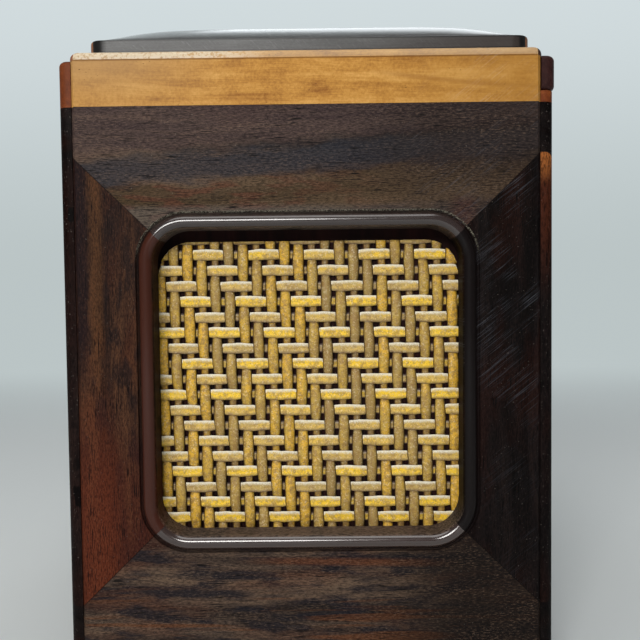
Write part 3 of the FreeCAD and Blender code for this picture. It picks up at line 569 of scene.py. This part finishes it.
def bamboo():
    """Lacquered split bamboo: gold level strips and browner uprights, mottled, with painted shade where they
    dip and painted highlights on the level strips' upper edges.
    """
    finish = Finish("lacquered_bamboo")
    edge, lift, chance, run, upright = (
        finish.add("ShaderNodeAttribute", {"attribute_name": label, "attribute_type": "GEOMETRY"}, out="Fac")
        for label in ("edge", "lift", "chance", "run", "upright"))
    level = 1.0 - upright
    patch = finish.point(run / 4.5, edge * 0.7, chance * 60.0 + upright * 9.0).noise(1.0, 2.0, 0.5)
    shade = chance * 0.65 + patch * 0.35
    gold = shade.ramp((0.38, (0.54, 0.37, 0.11)), (0.47, (0.69, 0.46, 0.11)),
                      (0.54, (0.80, 0.52, 0.075)), (0.59, (0.97, 0.62, 0.03)))
    olive = shade.ramp((0.38, (0.37, 0.245, 0.075)), (0.47, (0.49, 0.32, 0.075)),
                       (0.54, (0.60, 0.375, 0.055)), (0.60, (0.76, 0.44, 0.04)))
    colour = gold.mix(olive, upright)
    mottle = finish.place.noise(1.2, 4.0, 0.85)
    colour = colour.mix((0.30, 0.16, 0.045), mottle.step(0.46, 0.60) * (0.42 + upright * 0.25))
    smudge = finish.place.noise(0.6, 2.0, 0.6)
    colour = colour.mix((0.33, 0.19, 0.055), smudge.step(0.48, 0.62) * 0.45)
    speck = finish.place.noise(3.4, 2.0, 0.7)
    colour = colour.mix((0.10, 0.05, 0.018), speck.step(0.52, 0.7) * 0.5)
    colour = colour.mix((0.95, 0.84, 0.56), finish.place.noise(2.2, 2.0, 0.7).step(0.55, 0.68) * 0.4)
    # Painted highlight: the upper edge of each level strip is painted pale, where light from above falls on
    # it.
    top_edge_highlight = (edge + speck * 0.9 + mottle * 0.9).step(1.15, 1.9) * level
    colour = colour.mix((1.0, 0.94, 0.76), top_edge_highlight * 0.95)
    # Painted shade: the strips are darkened where they dip under their neighbours, along the uprights' sides
    # and along the level strips' lower edges.
    low = lift.step(0.1, -0.7)
    painted_shade = (abs(edge).step(0.78, 1.0) * upright * 0.75).most(low * 0.4)
    painted_shade = painted_shade.most(edge.step(-0.25, -0.95) * level * 0.6).most(abs(edge).step(0.35, 0.85) * low * 0.95)
    # Painted highlight: small pale bits where a level strip dips beside an upright.
    painted_glint = level * edge.step(0.2, 0.5) * lift.step(0.0, -0.2) * lift.step(-0.95, -0.6)
    colour = colour.mix((0.06, 0.018, 0.012), painted_shade * (1.0 - painted_glint * 0.8))
    colour = colour.mix((1.0, 0.93, 0.80), painted_glint * speck.step(0.44, 0.54))
    rough = 0.32 + speck * 0.25
    round_face = (1.0 - edge * edge).most(0.0) ** 0.5
    relief = round_face * 0.8 + lift * 0.2 + mottle * 0.14 + speck * 0.06
    return finish.shine(colour, rough, relief.bump(1.0, 0.001), Specular_IOR_Level=0.35)


def put(name, data):
    """A new object in the scene."""
    made = bpy.data.objects.new(name, data)
    bpy.context.scene.collection.objects.link(made)
    return made


weave = weave_plan(bamboo())
for side, turn, seed in (("front", 0.0, 0.0), ("right", 90.0, 3.0),
                         ("back", 180.0, 6.0), ("left", 270.0, 9.0)):
    blank = put(f"{side}_weave_blank", bpy.data.meshes.new(f"{side}_weave_blank"))
    weaving = blank.modifiers.new("weaving", "NODES")
    weaving.node_group = weave.tree
    weaving[weave.keys["Turn"]] = math.radians(turn)
    weaving[weave.keys["Seed"]] = seed
    woven = bpy.data.meshes.new_from_object(blank.evaluated_get(bpy.context.evaluated_depsgraph_get()))
    bpy.data.objects.remove(blank)
    woven.name = f"{side}_weave"
    sheet = put(f"{side}_weave", woven)
    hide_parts(f"{side}_upright_strips", f"{side}_level_strips")
    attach(sheet, "root")


# The lid: a board with a thin tongue, a domed cap of a dark field in a mitred frame, black at the front and
# back and brown at the sides, and the near-black end piece that is also the pull. All satin, rubbed smooth.
CORNER_LEFT = -50.6
CORNER_RIGHT = 53.2
CAP_FOOT = 160.15
CAP_EDGE = 162.9


def cap_front(finish, colour):
    """The cap's front face: darker and browner to the right, as painted shade away from the main lamp; a
    black line of painted shade at its foot and at its upper edge; and black where its corners turn."""
    # Painted shade: darker and browner towards the right, away from the main lamp.
    colour = colour.mix((0.028, 0.018, 0.015), finish.x.step(5.0, 45.0) * 0.8)
    left = finish.x.step(CORNER_LEFT + 1.0, CORNER_LEFT)
    right = finish.x.step(CORNER_RIGHT - 1.0, CORNER_RIGHT)
    # Painted shade: a black line at the foot, in the gap's shade above the rim, and one along the upper edge,
    # where the crown turns away.
    shade_lines = finish.z.step(CAP_FOOT + 0.25, CAP_FOOT).most(abs(finish.z - CAP_EDGE).step(0.35, 0.1))
    return colour.mix((0.004, 0.003, 0.003), left.most(right).most(shade_lines) * 0.95)


def lid_wood(name, along, tones, seed, polish, touch):
    """Satin timber, streaked by rubbing. polish says how much its crown shines; touch adds its own marks."""
    finish = Finish(name)
    length, width = (finish.x, finish.y) if along == "X" else (finish.y, finish.x)
    sway = finish.point(length / 50.0, width / 15.0 + seed, finish.z / 9.0).noise(1.0, 2.0) - 0.5
    growth = width + finish.z * 0.7 + sway * 12.0
    bands = finish.point(growth / 3.4 + seed, length / 120.0, 0.5).noise(1.0, 4.0, 0.6)
    fibre = finish.point(length / 6.0, width / 0.3, finish.z / 0.3 + seed).noise(1.0, 3.0, 0.6)
    stipple = finish.point(length / 0.8, width / 0.35, finish.z / 0.3 + seed).noise(1.0, 3.0, 0.7)
    dark, middle, pale = tones
    colour = (bands * 0.5 + fibre * 0.2 + stipple * 0.3).ramp((0.38, dark), (0.5, middle), (0.62, pale))
    rub_marks_and_rim_highlight = finish.point((finish.x + finish.z) / 0.35, (finish.x - finish.z) / 5.0 + seed, finish.y / 6.0)
    streak = rub_marks_and_rim_highlight.noise(1.0, 2.0, 0.7)
    colour = colour.mix((0.22, 0.22, 0.22), streak.step(0.56, 0.74) * 0.35 * polish)
    if touch is not None:
        colour = touch(finish, colour)
    crown = finish.z.step(CAP_EDGE + 0.1, CAP_EDGE + 1.3) * polish
    rough = 0.36 + streak * 0.12 - crown * 0.1
    relief = fibre * 0.5 + streak * 0.5
    return finish.shine(colour, rough, relief.bump(0.15, 0.00005), Specular_IOR_Level=0.1 + 0.3 * polish,
                        Coat_Weight=crown, Coat_Roughness=0.18)


INK = ((0.020, 0.020, 0.020), (0.045, 0.045, 0.045), (0.075, 0.076, 0.076))
UMBER = ((0.10, 0.032, 0.010), (0.24, 0.085, 0.026), (0.36, 0.15, 0.05))
MAROON = ((0.012, 0.004, 0.004), (0.034, 0.012, 0.011), (0.06, 0.022, 0.019))
for name, along, tones, seed, polish, touch in (
        ("lid_board", "X", INK, 6.0, 1.0, None), ("lid_field", "X", INK, 8.0, 1.0, None),
        ("lid_front_frame", "X", INK, 9.0, 1.0, cap_front), ("lid_back_frame", "X", INK, 10.0, 1.0, None),
        ("lid_left_frame", "Y", UMBER, 12.0, 0.1, None), ("lid_right_frame", "Y", UMBER, 15.0, 0.1, None),
        ("lid_end_piece", "Y", MAROON, 17.0, 0.1, None)):
    dress(name, lid_wood(f"{name}_wood", along, tones, seed, polish, touch))


# The studio: a pale floor and backdrop in a pale room, lit by a main lamp in front, one overhead and one from
# behind. The camera stands where the photograph's did, close to the front and just above the window's middle.
STUDIO_HALF = 3.0
STUDIO_BACK = 1.4


def pale_surface():
    """Matt near the box, where it keeps the box's shadow. Farther back, a camera or mirror ray sees it at one
    pale tone, which clears upwards."""
    finish = Finish("studio_pale")
    tone = finish.z.step(150.0, 900.0).ramp((0.0, (0.495, 0.555, 0.56)), (1.0, (0.64, 0.71, 0.73)))
    glow = finish.add("ShaderNodeEmission", None, {"Color": tone, "Strength": 1.0})
    matt = finish.add("ShaderNodeBsdfDiffuse", None, {"Color": (0.72, 0.76, 0.77, 1.0)})
    seen = finish.add("ShaderNodeLightPath", out="Is Camera Ray").most(
        finish.add("ShaderNodeLightPath", out="Is Glossy Ray"))
    share = seen * finish.y.step(150.0, 700.0)
    both = finish.add("ShaderNodeMixShader", None, {0: share, 1: matt, 2: glow})
    finish.add("ShaderNodeOutputMaterial", None, {"Surface": both})
    return finish.material


def slab(name, corners, finish):
    mesh = bpy.data.meshes.new(name)
    mesh.from_pydata(corners, [], [(0, 1, 2, 3)])
    mesh.materials.append(finish)
    made = put(name, mesh)


pale = pale_surface()
slab("floor", [(-STUDIO_HALF, -STUDIO_HALF, 0.0), (STUDIO_HALF, -STUDIO_HALF, 0.0),
               (STUDIO_HALF, STUDIO_BACK, 0.0), (-STUDIO_HALF, STUDIO_BACK, 0.0)], pale)
slab("backdrop", [(-STUDIO_HALF, STUDIO_BACK, 0.0), (STUDIO_HALF, STUDIO_BACK, 0.0),
                  (STUDIO_HALF, STUDIO_BACK, STUDIO_HALF), (-STUDIO_HALF, STUDIO_BACK, STUDIO_HALF)], pale)

world = bpy.data.worlds.new("studio")
world.use_nodes = True
world.node_tree.nodes.clear()
room = Tone(world.node_tree)
dim_room = room.add("ShaderNodeBackground", None, {"Color": (0.60, 0.64, 0.66, 1.0), "Strength": 0.2})
pale_room = room.add("ShaderNodeBackground", None, {"Color": (0.56, 0.62, 0.635, 1.0), "Strength": 1.0})
camera_sees = room.add("ShaderNodeLightPath", out="Is Camera Ray")
both = room.add("ShaderNodeMixShader", None, {0: camera_sees, 1: dim_room, 2: pale_room})
room.add("ShaderNodeOutputWorld", None, {"Surface": both})
bpy.context.scene.world = world


def lamp(name, place, target, size, watts, colour):
    light = bpy.data.lights.new(name, "AREA")
    light.shape = "RECTANGLE"
    light.size, light.size_y = size
    light.energy = watts
    light.color = colour
    made = put(name, light)
    made.location = place
    made.rotation_euler = (Vector(target) - Vector(place)).to_track_quat("-Z", "Y").to_euler()


lamp("main_lamp", (-0.275, -1.1, 0.55), (0.0, 0.0, 0.09), (0.6, 0.3), 9.5, (1.0, 0.98, 0.95))
lamp("overhead_lamp", (-0.1, -0.3, 1.0), (0.0, 0.0, 0.09), (0.8, 0.6), 3.5, (1.0, 0.98, 0.95))
lamp("back_lamp", (0.3, 1.0, 1.2), (0.0, 0.0, 0.08), (1.2, 0.6), 2.5, (0.92, 0.96, 1.0))

PHOTO_WIDTH = 640.0
FOCAL = 641.0
SENSOR = 36.0
CAMERA_PLACE = (0.00351, -0.21566, 0.09914)
yaw, pitch, roll = math.radians(-0.226), math.radians(1.992), math.radians(-0.648)
forward = Vector((math.sin(yaw) * math.cos(pitch), math.cos(yaw) * math.cos(pitch), -math.sin(pitch)))
level_right = Vector((math.cos(yaw), -math.sin(yaw), 0.0))
level_up = level_right.cross(forward)
right = math.cos(roll) * level_right + math.sin(roll) * level_up
up = -math.sin(roll) * level_right + math.cos(roll) * level_up
camera = put("camera", bpy.data.cameras.new("camera"))
camera.data.sensor_width = SENSOR
camera.data.lens = SENSOR * FOCAL / PHOTO_WIDTH
camera.data.clip_start = 0.01
turned = Matrix((right, up, -forward)).transposed().to_4x4()
camera.matrix_world = Matrix.Translation(CAMERA_PLACE) @ turned
bpy.context.scene.camera = camera
bpy.context.scene.view_settings.view_transform = "Standard"
